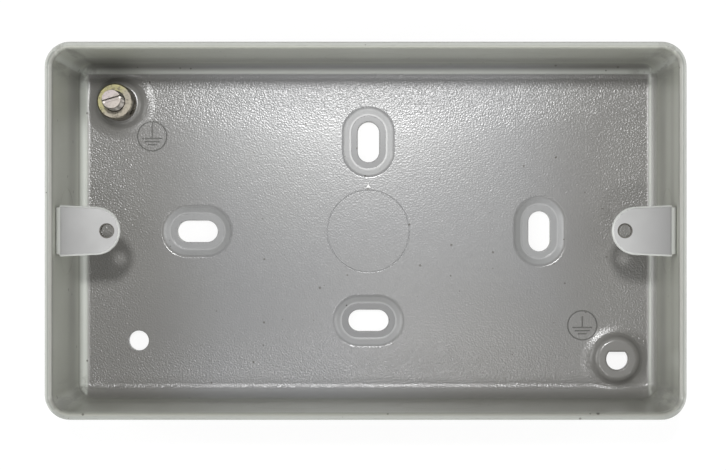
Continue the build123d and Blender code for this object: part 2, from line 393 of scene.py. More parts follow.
def threaded_rod(radius, depth, pitch, low, high, sides=48, steps_per_turn=10, chamfer=0.0):
    """Closed rod along Z with a V thread, from one height to another about the origin."""
    rod = bmesh.new()
    ring = bmesh.ops.create_circle(rod, cap_ends=True, radius=radius, segments=sides)
    bmesh.ops.translate(rod, verts=ring["verts"], vec=(0, 0, low))
    bottom = rod.faces[:]
    step = pitch / steps_per_turn
    count = round((high - low) / step)
    edges = [edge for face in bottom for edge in face.edges]
    for _ in range(count):
        grown = bmesh.ops.extrude_edge_only(rod, edges=edges)
        verts = [part for part in grown["geom"] if isinstance(part, bmesh.types.BMVert)]
        edges = [part for part in grown["geom"] if isinstance(part, bmesh.types.BMEdge)]
        bmesh.ops.translate(rod, verts=verts, vec=(0, 0, (high - low) / count))
    bmesh.ops.edgeloop_fill(rod, edges=edges)
    for vert in rod.verts:
        angle = vert.co.to_2d().angle_signed(Vector((1, 0)), 0.0)
        phase = (vert.co.z / pitch - angle / tau) % 1.0
        reach = radius - depth * abs(2 * phase - 1)
        to_end = min(vert.co.z - low, high - vert.co.z)
        reach = min(reach, radius - max(0.0, chamfer - to_end))
        vert.co.xy = vert.co.xy.normalized() * reach
    bmesh.ops.recalc_face_normals(rod, faces=rod.faces)
    return rod


def tapered_bar(cutter, low, high, half_line):
    """Add a bar to a cutter between two corners, a little narrower at its bottom."""
    low, high = Vector(low), Vector(high)
    size = high - low
    place = Matrix.Translation((low + high) / 2) @ Matrix.Diagonal((*size, 1))
    bar = bmesh.ops.create_cube(cutter, size=1, matrix=place)
    middle = (low + high) / 2
    for vert in bar["verts"]:
        if vert.co.z < middle.z:
            for axis in (0, 1):
                inward = -1 if vert.co[axis] > middle[axis] else 1
                vert.co[axis] += inward * half_line * MARK_TAPER


def mark_cutter(settings, centre, stem_high):
    """Body that stamps one earth mark: a circle round a stem over three bars that grow shorter."""
    half_line = settings.mark_line / 2
    bottom = FLOOR_TOP - settings.mark_depth
    top = FLOOR_TOP + MARK_CLEARANCE
    cutter = bmesh.new()
    section = []
    for height, half in ((bottom, half_line * (1 - MARK_TAPER)), (top, half_line)):
        for side in (-1, 1):
            section.append(cutter.verts.new((settings.mark_radius + side * half, 0, height)))
    for first, second in ((0, 1), (1, 3), (3, 2), (2, 0)):
        cutter.edges.new((section[first], section[second]))
    bmesh.ops.spin(
        cutter, geom=cutter.verts[:] + cutter.edges[:], cent=(0, 0, 0), axis=(0, 0, 1),
        angle=tau, steps=MARK_STEPS, use_merge=True, use_duplicate=False,
    )
    for middle_y, half_length in MARK_BARS:
        low = (-half_length, middle_y - half_line, bottom)
        tapered_bar(cutter, low, (half_length, middle_y + half_line, top), half_line)
    tapered_bar(cutter, (-half_line, MARK_STEM_LOW, bottom), (half_line, stem_high, top), half_line)
    bmesh.ops.recalc_face_normals(cutter, faces=cutter.faces)
    bmesh.ops.translate(cutter, verts=cutter.verts, vec=(*centre, 0))
    return as_mesh(cutter, "mark_cutter")


# Materials

# Shared groups: how much finer the fine clouds are, how far small specks outnumber large ones, the
# least speck, and how a turned ring drifts with height
FINER = 9.0
SMALLER_SPECKS = 3.0
LEAST_SPECK = 0.0001
RING_DRIFT = 1.37


def span(base, start, end, *values):
    """Where a mask starts and ends, in millimetres from a base, and its values there if not 0 and 1."""
    return (base + start * MM, base + end * MM, *values)


# Slow rise of the floor towards the long walls and the bosses, as bump
FOOT_REACH = 3.9 * MM
FOOT_CURVE = 1.2 * MM
BOSS_FOOT = 6.3 * MM
BOSS_SWELL_REACH = 2.9 * MM

# Spans of the shell's masks; two stand together where a mask lies between them
OUTER_FACE = span(0, 1.2, 1.5)
UNDERSIDE = span(0, 1.62, 1.35)
FLAT_X = span(HALF_X, -1.4, -3.0)
FLAT_Y = span(HALF_Y, -1.4, -3.0)
ON_FLOOR = (span(FLOOR_TOP, 0.6, 0.02), span(FLOOR_TOP, -0.3, -0.02))
NEAR_FLOOR = span(FLOOR_TOP, 3.5, 0.5)
PEEL_X = span(HALF_X, -22, -6, 0.35, 0.9)
PEEL_Y = span(HALF_Y, -20, -6, 0.35, 1.0)
CORNER_X = span(HALF_X, -9, -2.5)
CORNER_Y = span(HALF_Y, -8, -2.5)
CORNER_MOTTLE = (0.47, 0.6, 0.0, 0.7)
# Painted light on the dishes' slopes
SLOPE = (span(FLOOR_TOP, -0.05, -0.4), span(DISH_BOTTOM, 0.005, 0.03))
# Painted highlight line at a dish's foot, strongest in the upper dish
SLOPE_FOOT = span(DISH_BOTTOM, 0.2, 0.08)
DISH_FLAT = span(DISH_BOTTOM, 0.02, 0.005)
UPPER_DISH = span(0, 9, 13)
FOOT_LINE = (*UPPER_DISH, 0.12, 0.45)
# Painted light on the end dishes' flats
END_DISH = span(0, 25, 32, 0.0, 0.8)
SUNK = span(FLOOR_TOP, -0.3, -0.7)
# Painted shade in the stamped mark lines
STAMPED = span(FLOOR_TOP, -0.03, -0.2)
# Painted highlight on the raised pry nib
NIB_SIDE = span(FLOOR_TOP, 0.04, 0.12)
# Painted shade on the floor towards its ends and its lower right
DARK_END = span(0, 32, 62, 0.0, 0.9)
DARK_CORNER_X = span(0, -15, 35, 0.0, 0.8)
DARK_CORNER_Y = span(0, 0, -34)
DARK_FLOOR = span(FLOOR_TOP, -0.9, -0.4)
# Painted highlights in the end fillets, weaker on the right, and in the upper fillet
END_STRIP = span(HALF_X, -2.3, -1.6)
END_STRIP_TOP = span(FLOOR_TOP, 2.0, 1.2)
END_STRIP_RIGHT = span(HALF_X, -1.2, -1.7, 0.15, 1.0)
UPPER_STRIP = (span(HALF_Y, -2.65, -2.35), span(HALF_Y, -0.7, -2.0, 0.0, 0.75))
# Painted reflection bands on the walls, and painted shade low on the lower wall
LOW_BAND = (span(0, 5, 12), span(0, 22, 15))
HIGH_BAND = (span(0, 25, 28.5), span(0, 33, 30))
HIGH_BAND_X = span(0, 60, 70, 0.0, 0.7)
BAND_WAVES = (0.3, 0.6, 0.6, 1.0)
LOWER_WALL = span(-HALF_Y, 1.4, 0.4)
LOWER_WALL_X = span(0, -40, 55, 0.4, 1.0)
# The rim: painted shade on its top, and a painted highlight on its outer half, duller on the lower rim
RIM_HEIGHT = span(SHELL_HIGH.z, -1.2, -0.7)
RIM_LEVEL = span(0, 0.7, 0.9)
RIM_OUTER = span(0, 0.75, 0.95)
RIM_OUTER_X = span(HALF_X, -1, 0, 0.0, 0.3 * MM)
RIM_OUTER_Y = span(-HALF_Y, 0, 1, 0.35, 1.0)
# Painted shade on the rim's inner round, fullest by the end walls
RIM_ROUND = span(SHELL_HIGH.z, -2.4, -0.9)
RIM_ROUND_X = span(HALF_X, -1, -0.5, 0.3, 1.0)
# Painted highlight line just under the lower rim
RIM_LINE = (span(SHELL_HIGH.z, -2.4, -1.7), span(SHELL_HIGH.z, -0.5, -0.9))
WORN_CLOUDS = (0.3, 0.7, 0.0, 0.10)

# Shares of some of those masks, and sizes of the shell's clouds, specks and mottle
OUTER_PEEL = 0.6
BAND_SHARE = 0.8
SLOPE_SHARE = 0.9
LINE_SHARE = 0.75
SMALL_SPECK_SHARE = 0.85
SHELL_CLOUD = 22 * MM
LARGE_SPECK = 0.62 * MM
SMALL_SPECK = 0.42 * MM
CLOSER_SPECKS = 2.3
MOTTLE_SIZE = 3.2 * MM
MOTTLE_STRETCH = (1, 1, 0.12)
MARK_AREA = 4.4 * MM
AREA_FADE = 0.1 * MM
SHELL_GRAIN = 0.06

# Spans, sizes and grain of the lugs' paint
LUG_WEAR = (0.3, 0.7, 0.0, 0.4)
# Painted shade on the lugs towards the walls, more on the right lug
LUG_TO_WALL = span(0, 57, 71)
LUG_RIGHT = span(0, -1, 1, 0.65, 1.0)
# Painted highlight on the lugs' edges and sides, below the top face
LUG_EDGE = span(LUG_HIGH.z, -0.02, -0.12)
# Painted shade in the lugs' tapped holes
LUG_THREAD = span(0, 1.8, 1.74)
LUG_CLOUD = 9 * MM
LUG_SPECKS = {"Spacing": 4 * MM, "Size": 0.25 * MM}
LUG_RIPPLE = {"Size": 1.6 * MM, "Depth": 0.012 * MM, "Mask": 0.5}
LUG_GRAIN = 0.08

# Spans of the metals, the slot's from its edge and its top, and their sizes, grain and pits
DULL_CLOUDS = (0.42, 0.75, 0.0, 0.5)
DULL_GRAIN = (0.4, 0.6, 0.0, 0.35)
# Painted shade on the metals' lower right side
PAINTED_SHADE_SIDE = span(0, -3.0, 1.5, 0.0, 0.85)
PITTED = (0.5, 0.62)
# Painted shade along the driver slot's edges
SLOT_LINE = (span(0, -0.32, -0.1), span(0, 0.1, 0.02))
SLOT_LINE_TOP = span(0, -0.05, -0.3)
# Fades of the metals' band whose colour stands in for light
PAINTED_LIGHT_FADE = 0.1 * MM
PAINTED_LIGHT_TOP_FADE = 0.15 * MM
METAL_CLOUD = 5 * MM
METAL_GRAIN = 0.2
# Colour of the pits, and of the painted shade along a slot's edges
PITS_AND_PAINTED_SLOT_SHADE = (0.075, 0.068, 0.058)


def add(tree, kind, inputs=None, **settings):
    """Add a shader node, with its settings, and with values or links for its inputs."""
    made = tree.nodes.new("ShaderNode" + kind)
    for name, value in settings.items():
        setattr(made, name, value)
    for name, value in (inputs or {}).items():
        if isinstance(value, bpy.types.NodeSocket):
            tree.links.new(value, made.inputs[name])
        else:
            made.inputs[name].default_value = value
    return made


def maths(tree, operation, first, second=0.0, third=0.0):
    """Result of one sum on numbers or sockets."""
    return add(tree, "Math", {0: first, 1: second, 2: third}, operation=operation).outputs[0]


def less(tree, first, second):
    """The first less the second."""
    return maths(tree, "SUBTRACT", first, second)


def product(tree, first, *others):
    """Product of sockets and numbers."""
    for other in others:
        first = maths(tree, "MULTIPLY", first, other)
    return first


def largest(tree, first, *others):
    """The largest of sockets and numbers."""
    for other in others:
        first = maths(tree, "MAXIMUM", first, other)
    return first


def ramp(tree, value, low, high, start=0.0, end=1.0):
    """Smooth step from one value to another."""
    return add(tree, "MapRange", {
        "Value": value, "From Min": low, "From Max": high, "To Min": start, "To Max": end,
    }, interpolation_type="SMOOTHSTEP").outputs[0]


def mask(tree, value, *spans):
    """Mask of a value over a span, or over two of them at once."""
    return product(tree, *(ramp(tree, value, *each) for each in spans))


def object_place(tree):
    """Place of a point in the object's own coordinates."""
    return add(tree, "TexCoord").outputs["Object"]


def split(tree, vector):
    """The three parts of a vector."""
    return add(tree, "SeparateXYZ", {"Vector": vector}).outputs


def flat_length(tree, x, y):
    """Length of the level line with these two parts."""
    line = add(tree, "CombineXYZ", {"X": x, "Y": y}).outputs[0]
    return add(tree, "VectorMath", {0: line}, operation="LENGTH").outputs["Value"]


def blend(tree, where, first, second):
    """Colour that goes from the first to the second with a mask."""
    first, second = (
        value if isinstance(value, bpy.types.NodeSocket) else (*value, 1) for value in (first, second)
    )
    return add(tree, "Mix", {0: where, 6: first, 7: second}, data_type="RGBA").outputs[2]


def coated(tree, base, *coats):
    """Colour of a base under coats of paint, each with its mask."""
    for where, shade in coats:
        base = blend(tree, where, base, shade)
    return base


def new_group(name, inputs, outputs):
    """Empty shader node group with named sockets, and its inside ends."""
    group = bpy.data.node_groups.new(name, "ShaderNodeTree")
    for label, kind, default in inputs:
        made = group.interface.new_socket(label, in_out="INPUT", socket_type="NodeSocket" + kind)
        if default is not None:
            made.default_value = default
    for label, kind in outputs:
        group.interface.new_socket(label, in_out="OUTPUT", socket_type="NodeSocket" + kind)
    return group, group.nodes.new("NodeGroupInput").outputs, group.nodes.new("NodeGroupOutput").inputs


def ripple_group():
    """Orange peel: soft ripples in sprayed paint."""
    group, given, result = new_group(
        "paint_ripple",
        [("Size", "Float", MM), ("Depth", "Float", 0.01 * MM), ("Mask", "Float", 1.0)],
        [("Normal", "Vector")],
    )
    scale = maths(group, "DIVIDE", 1.0, given["Size"])
    noise = add(group, "TexNoise", {
        "Vector": object_place(group), "Scale": scale, "Detail": 1.5, "Roughness": 0.4,
    })
    bump = add(group, "Bump", {
        "Strength": given["Mask"], "Distance": given["Depth"], "Height": noise.outputs[0],
    })
    group.links.new(bump.outputs[0], result["Normal"])
    return group


def speck_group():
    """Sparse specks of dust, each of its own size."""
    group, given, result = new_group(
        "dust_specks", [("Spacing", "Float", 5 * MM), ("Size", "Float", 0.2 * MM)], [("Mask", "Float")],
    )
    scale = maths(group, "DIVIDE", 1.0, given["Spacing"])
    cells = add(group, "TexVoronoi", {"Vector": object_place(group), "Scale": scale})
    chance = add(group, "SeparateColor", {"Color": cells.outputs["Color"]}).outputs[0]
    share = maths(group, "POWER", chance, SMALLER_SPECKS)
    reach = product(group, maths(group, "DIVIDE", given["Size"], given["Spacing"]), share)
    near = maths(group, "DIVIDE", cells.outputs["Distance"], largest(group, reach, LEAST_SPECK))
    group.links.new(ramp(group, near, 1.0, 0.5), result["Mask"])
    return group


def cloud_group():
    """Slow, soft change over a surface, and a finer one."""
    group, given, result = new_group(
        "soft_clouds", [("Size", "Float", 20 * MM)], [("Broad", "Float"), ("Fine", "Float")],
    )
    place = object_place(group)
    scale = maths(group, "DIVIDE", 1.0, given["Size"])
    broad = add(group, "TexNoise", {"Vector": place, "Scale": scale, "Detail": 2.0, "Roughness": 0.5})
    finer = product(group, scale, FINER)
    fine = add(group, "TexNoise", {"Vector": place, "Scale": finer, "Detail": 4.0, "Roughness": 0.6})
    group.links.new(broad.outputs[0], result["Broad"])
    group.links.new(fine.outputs[0], result["Fine"])
    return group


def turning_group():
    """Fine rings that a lathe leaves round an axis."""
    group, given, result = new_group(
        "turning_marks",
        [("Axis", "Vector", None), ("Pitch", "Float", 0.08 * MM), ("Depth", "Float", 0.002 * MM)],
        [("Normal", "Vector")],
    )
    inputs = {0: object_place(group), 1: given["Axis"]}
    x, y, z = split(group, add(group, "VectorMath", inputs, operation="SUBTRACT").outputs[0])
    along = maths(group, "MULTIPLY_ADD", z, RING_DRIFT, flat_length(group, x, y))
    turn = maths(group, "DIVIDE", along, given["Pitch"])
    rings = add(group, "TexNoise", {"W": turn, "Scale": 1.0, "Detail": 2.0}, noise_dimensions="1D")
    bump = add(group, "Bump", {"Distance": given["Depth"], "Height": rings.outputs[0]})
    group.links.new(bump.outputs[0], result["Normal"])
    return group


def use(tree, name, make, inputs):
    """Place a shared node group in a material, built the first time that it is asked for."""
    group = bpy.data.node_groups.get(name) or make()
    return add(tree, "Group", inputs, node_tree=group).outputs


def new_material(name):
    """Material with only its output and a Principled shader."""
    material = bpy.data.materials.new(name)
    material.use_nodes = True
    tree = material.node_tree
    return material, tree, tree.nodes["Principled BSDF"]


def feed(tree, shader, sockets):
    """Lead sockets into a shader's inputs."""
    for label, socket in sockets.items():
        tree.links.new(socket, shader.inputs[label])


def round_area(tree, centre, radius):
    """Mask of a round area of the floor."""
    ends = {0: object_place(tree), 1: (*centre, FLOOR_TOP)}
    distance = add(tree, "VectorMath", ends, operation="DISTANCE").outputs["Value"]
    return ramp(tree, distance, radius, radius - AREA_FADE)


def shell_places(tree):
    """Sockets for where a point of the shell lies, and masks that more than one effect needs."""
    x, y, z = split(tree, object_place(tree))
    from_x = maths(tree, "ABSOLUTE", x)
    from_y = maths(tree, "ABSOLUTE", y)
    past_x = largest(tree, less(tree, from_x, HALF_X - INNER_CORNER), 0.0)
    past_y = largest(tree, less(tree, from_y, HALF_Y - INNER_CORNER), 0.0)
    into_wall = less(tree, flat_length(tree, past_x, past_y), INNER_CORNER)
    outer = largest(tree, mask(tree, into_wall, OUTER_FACE), mask(tree, z, UNDERSIDE))
    high = mask(tree, z, RIM_HEIGHT)
    return SimpleNamespace(
        x=x, y=y, z=z, from_x=from_x, from_y=from_y, into_wall=into_wall, high=high, outer=outer,
        within=less(tree, 1.0, outer),
        flat=product(tree, mask(tree, from_x, FLAT_X), mask(tree, from_y, FLAT_Y)),
        lower_wall=mask(tree, y, LOWER_WALL),
        rim=product(tree, high, mask(tree, into_wall, RIM_LEVEL)),
    )


def foot_swell(tree, at, boss_swell):
    """Height of the floor's slow rise towards the bosses and the long walls."""
    into = largest(tree, less(tree, at.from_y, HALF_Y - FOOT_REACH), 0.0)
    curved = maths(tree, "MINIMUM", into, FOOT_CURVE)
    rise = maths(tree, "DIVIDE", product(tree, curved, curved), 2 * FOOT_REACH)
    straight = product(tree, less(tree, into, curved), FOOT_CURVE / FOOT_REACH)
    height = maths(tree, "ADD", rise, straight)
    for side in (1, -1):
        along = less(tree, at.x, side * TERMINAL_AXIS.x)
        across = less(tree, at.y, side * TERMINAL_AXIS.y)
        inward = less(tree, BOSS_FOOT + BOSS_SWELL_REACH, flat_length(tree, along, across))
        share = maths(tree, "DIVIDE", inward, BOSS_SWELL_REACH)
        bounded = maths(tree, "MINIMUM", largest(tree, share, 0.0), 1.0)
        height = maths(tree, "ADD", height, product(tree, bounded, bounded, boss_swell))
    return height


def peel_mask(tree, at):
    """Where the shell's paint ripples: on the floor, most by the walls, and on the outer faces."""
    by_wall = largest(tree, mask(tree, at.from_x, PEEL_X), mask(tree, at.from_y, PEEL_Y))
    on_floor = product(tree, mask(tree, at.z, *ON_FLOOR), at.flat, by_wall)
    return largest(tree, on_floor, product(tree, at.outer, OUTER_PEEL))


def wall_bands(tree, at, broad):
    """Where the walls get painted reflection bands, a low one and a high one by the right end wall, and
    painted shade at the foot of the lower wall.
    """
    right = product(tree, mask(tree, at.z, *HIGH_BAND), mask(tree, at.x, HIGH_BAND_X))
    both = largest(tree, mask(tree, at.z, *LOW_BAND), right)
    # Painted shade at the foot of the lower wall, strongest to the right
    painted_lighting = product(tree, at.lower_wall, mask(tree, at.x, LOWER_WALL_X))
    return product(tree, largest(tree, product(tree, both, mask(tree, broad, BAND_WAVES)), painted_lighting), at.within)


def floor_colour(tree, at, paint):
    """Colour of the floor: darker than the walls' paint as a painted shade, with more painted shade towards
    its ends and the lower right, and painted light in the end dishes.
    """
    to_corner = product(tree, mask(tree, at.y, DARK_CORNER_Y), mask(tree, at.x, DARK_CORNER_X))
    painted_shade_area = largest(tree, mask(tree, at.from_x, DARK_END), to_corner)
    dark = product(tree, painted_shade_area, mask(tree, at.z, DARK_FLOOR))
    end_dish_painted_light = product(tree, mask(tree, at.from_x, END_DISH), mask(tree, at.z, DISH_FLAT))
    return coated(tree, paint.floor_shade, (dark, paint.ends_painted_shade), (end_dish_painted_light, paint.other_dish_painted_light))


def corner_patches(tree, at):
    """Worn patches in the drawn corners, stretched along the depth."""
    stretch = {0: object_place(tree), 1: MOTTLE_STRETCH}
    mottle = add(tree, "TexNoise", {
        "Vector": add(tree, "VectorMath", stretch, operation="MULTIPLY").outputs[0],
        "Scale": 1 / MOTTLE_SIZE, "Detail": 5.0, "Roughness": 0.7,
    }).outputs[0]
    corner = product(tree, mask(tree, at.from_x, CORNER_X), mask(tree, at.from_y, CORNER_Y))
    return product(tree, corner, mask(tree, mottle, CORNER_MOTTLE), at.within)


def dust(tree, spacing):
    """Large specks, and small ones closer together."""
    large, small = (
        use(tree, "dust_specks", speck_group, {"Spacing": apart, "Size": size})["Mask"]
        for apart, size in ((spacing, LARGE_SPECK), (spacing / CLOSER_SPECKS, SMALL_SPECK))
    )
    return largest(tree, large, product(tree, small, SMALL_SPECK_SHARE))


def shell_colour(tree, at, paint, broad, mark_centres):
    """Colour of the shell: the walls' paint, and over it all that changes it, in order. Most coats are
    painted shade, painted highlights and painted reflection bands; the clouds, the corner patches and the
    specks are the paint's own.
    """
    slope = mask(tree, at.z, *SLOPE)
    # Painted highlight along the dishes' feet and on the pry nib
    foot_line = product(tree, slope, mask(tree, at.z, SLOPE_FOOT), mask(tree, at.y, FOOT_LINE))
    # Painted light on the dishes' slopes, paler in the upper dish
    dish_paint = blend(tree, mask(tree, at.y, UPPER_DISH), paint.other_dish_painted_light, paint.upper_dish_painted_light)
    # Painted highlights in the end fillets and the upper fillet
    strip = product(
        tree, mask(tree, at.from_x, END_STRIP), mask(tree, at.z, END_STRIP_TOP),
        mask(tree, at.x, END_STRIP_RIGHT),
    )
    fillets = largest(tree, strip, mask(tree, at.y, *UPPER_STRIP))
    nib = product(tree, round_area(tree, (0, NIB_MIDDLE), NIB_REACH), mask(tree, at.z, NIB_SIDE))
    # Painted shade on the rim's inner round, fullest by the end walls
    rim_round = product(tree, mask(tree, at.z, RIM_ROUND), at.within, mask(tree, at.from_x, RIM_ROUND_X))
    # Painted highlight on the rim's outer half, duller on the lower rim
    from_outer = less(tree, at.into_wall, mask(tree, at.from_x, RIM_OUTER_X))
    rim_outer = product(tree, at.high, mask(tree, at.y, RIM_OUTER_Y), mask(tree, from_outer, RIM_OUTER))
    # Painted highlight line under the lower rim
    rim_line = product(tree, mask(tree, at.z, *RIM_LINE), at.lower_wall, at.within)
    marks = largest(tree, *(round_area(tree, centre, MARK_AREA) for centre in mark_centres))
    return coated(
        tree, paint.shade,
        # Painted reflection bands and painted shade on the walls
        (product(tree, wall_bands(tree, at, broad), BAND_SHARE), paint.thin_and_painted_shade),
        # The floor's colour, with its painted shade and painted light
        (product(tree, largest(tree, mask(tree, at.z, NEAR_FLOOR), at.flat), at.within),
         floor_colour(tree, at, paint)),
        (product(tree, slope, SLOPE_SHARE), dish_paint),
        (product(tree, fillets, at.within), paint.fillet_painted_highlight),
        (largest(tree, nib, foot_line), paint.nib_painted_highlight),
        (rim_round, paint.thin_and_painted_shade),
        (at.rim, paint.rim_painted_shade),
        (rim_outer, paint.rim_painted_highlight),
        (product(tree, rim_line, LINE_SHARE), paint.fillet_painted_highlight),
        (corner_patches(tree, at), paint.corner_shade),
        (mask(tree, broad, WORN_CLOUDS), paint.thin_and_painted_shade),
        # Painted shade in the stamped mark lines
        (product(tree, mask(tree, at.z, STAMPED), marks), paint.mark_painted_shade),
        (dust(tree, paint.speck_spacing), paint.speck_and_painted_shade),
    )


def shell_paint(paint, mark_centres):
    """Grey stoved paint: rippled on the floor, smooth on the drawn walls, thin and marked at the corners."""
    material, tree, shader = new_material("shell_paint")
    at = shell_places(tree)
    clouds = use(tree, "soft_clouds", cloud_group, {"Size": SHELL_CLOUD})
    ripple = use(tree, "paint_ripple", ripple_group, {
        "Size": paint.peel_size, "Depth": paint.peel_depth, "Mask": peel_mask(tree, at),
    })
    swell = foot_swell(tree, at, paint.boss_swell)
    drawn_foot = add(tree, "Bump", {"Distance": 1.0, "Height": swell, "Normal": ripple["Normal"]})
    roughness = ramp(tree, at.flat, 0.0, 1.0, paint.wall_roughness, paint.roughness)
    gloss = ramp(tree, largest(tree, at.flat, at.rim), 0.0, 1.0, paint.gloss, paint.floor_gloss)
    feed(tree, shader, {
        "Base Color": shell_colour(tree, at, paint, clouds["Broad"], mark_centres),
        "Roughness": maths(tree, "MULTIPLY_ADD", clouds["Fine"], SHELL_GRAIN, roughness),
        "Normal": drawn_foot.outputs[0],
        "Specular IOR Level": product(tree, gloss, ramp(tree, at.z, *SUNK, 1.0, paint.dish_gloss)),
    })
    return material


def lug_paint(paint):
    """The same paint on the lugs: smooth, rubbed thin in places, with painted shade towards the walls and
    painted highlights on the edges.
    """
    material, tree, shader = new_material("lug_paint")
    clouds = use(tree, "soft_clouds", cloud_group, {"Size": LUG_CLOUD})
    x, y, z = split(tree, object_place(tree))
    from_middle = maths(tree, "ABSOLUTE", x)
    from_hole = flat_length(tree, less(tree, from_middle, FACEPLATE_SCREW_X), y)
    smoothest = paint.lug_roughness - LUG_GRAIN / 2
    feed(tree, shader, {
        "Base Color": coated(
            tree, paint.lug_shade,
            (mask(tree, clouds["Broad"], LUG_WEAR), paint.lug_wear_and_painted_shade),
            # Painted shade towards the wall, more on the right lug
            (product(tree, mask(tree, from_middle, LUG_TO_WALL), mask(tree, x, LUG_RIGHT)), paint.lug_wear_and_painted_shade),
            # Painted highlight on the edges
            (mask(tree, z, LUG_EDGE), paint.lug_painted_highlight),
            # Painted shade in the tapped hole
            (mask(tree, from_hole, LUG_THREAD), paint.speck_and_painted_shade),
            (use(tree, "dust_specks", speck_group, LUG_SPECKS)["Mask"], paint.speck_and_painted_shade),
        ),
        "Roughness": maths(tree, "MULTIPLY_ADD", clouds["Fine"], LUG_GRAIN, smoothest),
        "Normal": use(tree, "paint_ripple", ripple_group, LUG_RIPPLE)["Normal"],
    })
    return material


def slot_lines(tree, offset, height, angle, half_width, top):
    """Mask of the painted shade along the edges of a driver slot."""
    inputs = {0: offset, 1: (-sin(angle), cos(angle), 0)}
    across = add(tree, "VectorMath", inputs, operation="DOT_PRODUCT").outputs["Value"]
    from_edge = less(tree, maths(tree, "ABSOLUTE", across), half_width)
    line = mask(tree, from_edge, *SLOT_LINE)
    return product(tree, line, mask(tree, less(tree, height, top), SLOT_LINE_TOP))


def metal(
    name, shade, oxide_and_painted_shade_colour, painted_light_colour, painted_light_top, painted_light_radii, roughness, pitch, depth, pitting, slot=None
):
    """Turned metal: tarnished in clouds and pitted, with painted shade on its lower right side, a band
    between two radii in a painted colour that stands for its lighting, and painted shade along a slot's
    edges.
    """
    material, tree, shader = new_material(name)
    shader.inputs["Metallic"].default_value = 1.0
    clouds = use(tree, "soft_clouds", cloud_group, {"Size": METAL_CLOUD})
    rings = {"Axis": TERMINAL_AXIS, "Pitch": pitch, "Depth": depth}
    turned = use(tree, "turning_marks", turning_group, rings)
    place = object_place(tree)
    height = split(tree, place)["Z"]
    offset = add(tree, "VectorMath", {0: place, 1: TERMINAL_AXIS}, operation="SUBTRACT").outputs[0]
    x, y, _ = split(tree, offset)
    inner, outer = painted_light_radii
    # A band below the top and between two radii, coloured to stand in for light: painted shade in the post's
    # bore, painted light on the screw's thread
    painted_light_mask = product(
        tree, ramp(tree, height, painted_light_top, painted_light_top - PAINTED_LIGHT_TOP_FADE),
        mask(tree, flat_length(tree, x, y), (inner, inner + PAINTED_LIGHT_FADE), (outer, outer - PAINTED_LIGHT_FADE)),
    )
    # Tarnish in random clouds and grain, and painted shade on the lower right side
    oxide_and_painted_side_shade = largest(
        tree, mask(tree, less(tree, x, y), PAINTED_SHADE_SIDE),
        mask(tree, clouds["Broad"], DULL_CLOUDS), mask(tree, clouds["Fine"], DULL_GRAIN),
    )
    pits = ramp(tree, clouds["Fine"], *PITTED, 0.0, pitting)
    coats = [(oxide_and_painted_side_shade, oxide_and_painted_shade_colour), (painted_light_mask, painted_light_colour), (pits, PITS_AND_PAINTED_SLOT_SHADE)]
    if slot:
        # Painted shade along the slot's edges
        coats.append((slot_lines(tree, offset, height, *slot), PITS_AND_PAINTED_SLOT_SHADE))
    feed(tree, shader, {
        "Base Color": coated(tree, shade, *coats),
        "Roughness": maths(tree, "MULTIPLY_ADD", clouds["Fine"], METAL_GRAIN, roughness - METAL_GRAIN / 2),
        "Normal": turned["Normal"],
    })
    return material


def stage_floor_material(studio):
    """Pale floor that is white to the camera and in reflections, and keeps the box's shadow."""
    material = bpy.data.materials.new("stage_floor")
    material.use_nodes = True
    tree = material.node_tree
    tree.nodes.clear()
    seen = seen_ray(tree)
    plain = add(tree, "BsdfDiffuse", {"Color": (*studio.floor_shade, 1)}).outputs[0]
    rest = 1 - studio.floor_glow
    shaded = add(tree, "BsdfDiffuse", {"Color": (rest, rest, rest, 1)}).outputs[0]
    glow = add(tree, "Emission", {"Strength": studio.floor_glow}).outputs[0]
    white = add(tree, "AddShader", {0: shaded, 1: glow}).outputs[0]
    mixed = add(tree, "MixShader", {0: seen, 1: plain, 2: white}).outputs[0]
    add(tree, "OutputMaterial", {"Surface": mixed})
    return material


def seen_ray(tree):
    """1 for a ray that shows the stage itself: from the camera, in a reflection or through glass."""
    path = add(tree, "LightPath").outputs
    mirrored = maths(tree, "MAXIMUM", path["Is Glossy Ray"], path["Is Transmission Ray"])
    return maths(tree, "MAXIMUM", path["Is Camera Ray"], mirrored)


# Pieces

def dress(piece, material, body, slot, *nodes):
    """Give a finished piece its material and its body, and hide the nodes that it stands for; the slot is
    not used.
    """
    piece.data.materials.clear()
    piece.data.materials.append(material)
    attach(piece, body)
    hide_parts(*nodes)


def hang_lamp(name, place, size, watts):
    """Square lamp that looks at the middle of the box."""
    lamp = bpy.data.lights.new(name, "AREA")
    lamp.shape = "SQUARE"
    lamp.size = size
    lamp.energy = watts
    hung = bpy.data.objects.new(name, lamp)
    hung.location = place
    hung.rotation_euler = (-hung.location).to_track_quat("-Z", "Y").to_euler()
    bpy.context.scene.collection.objects.link(hung)


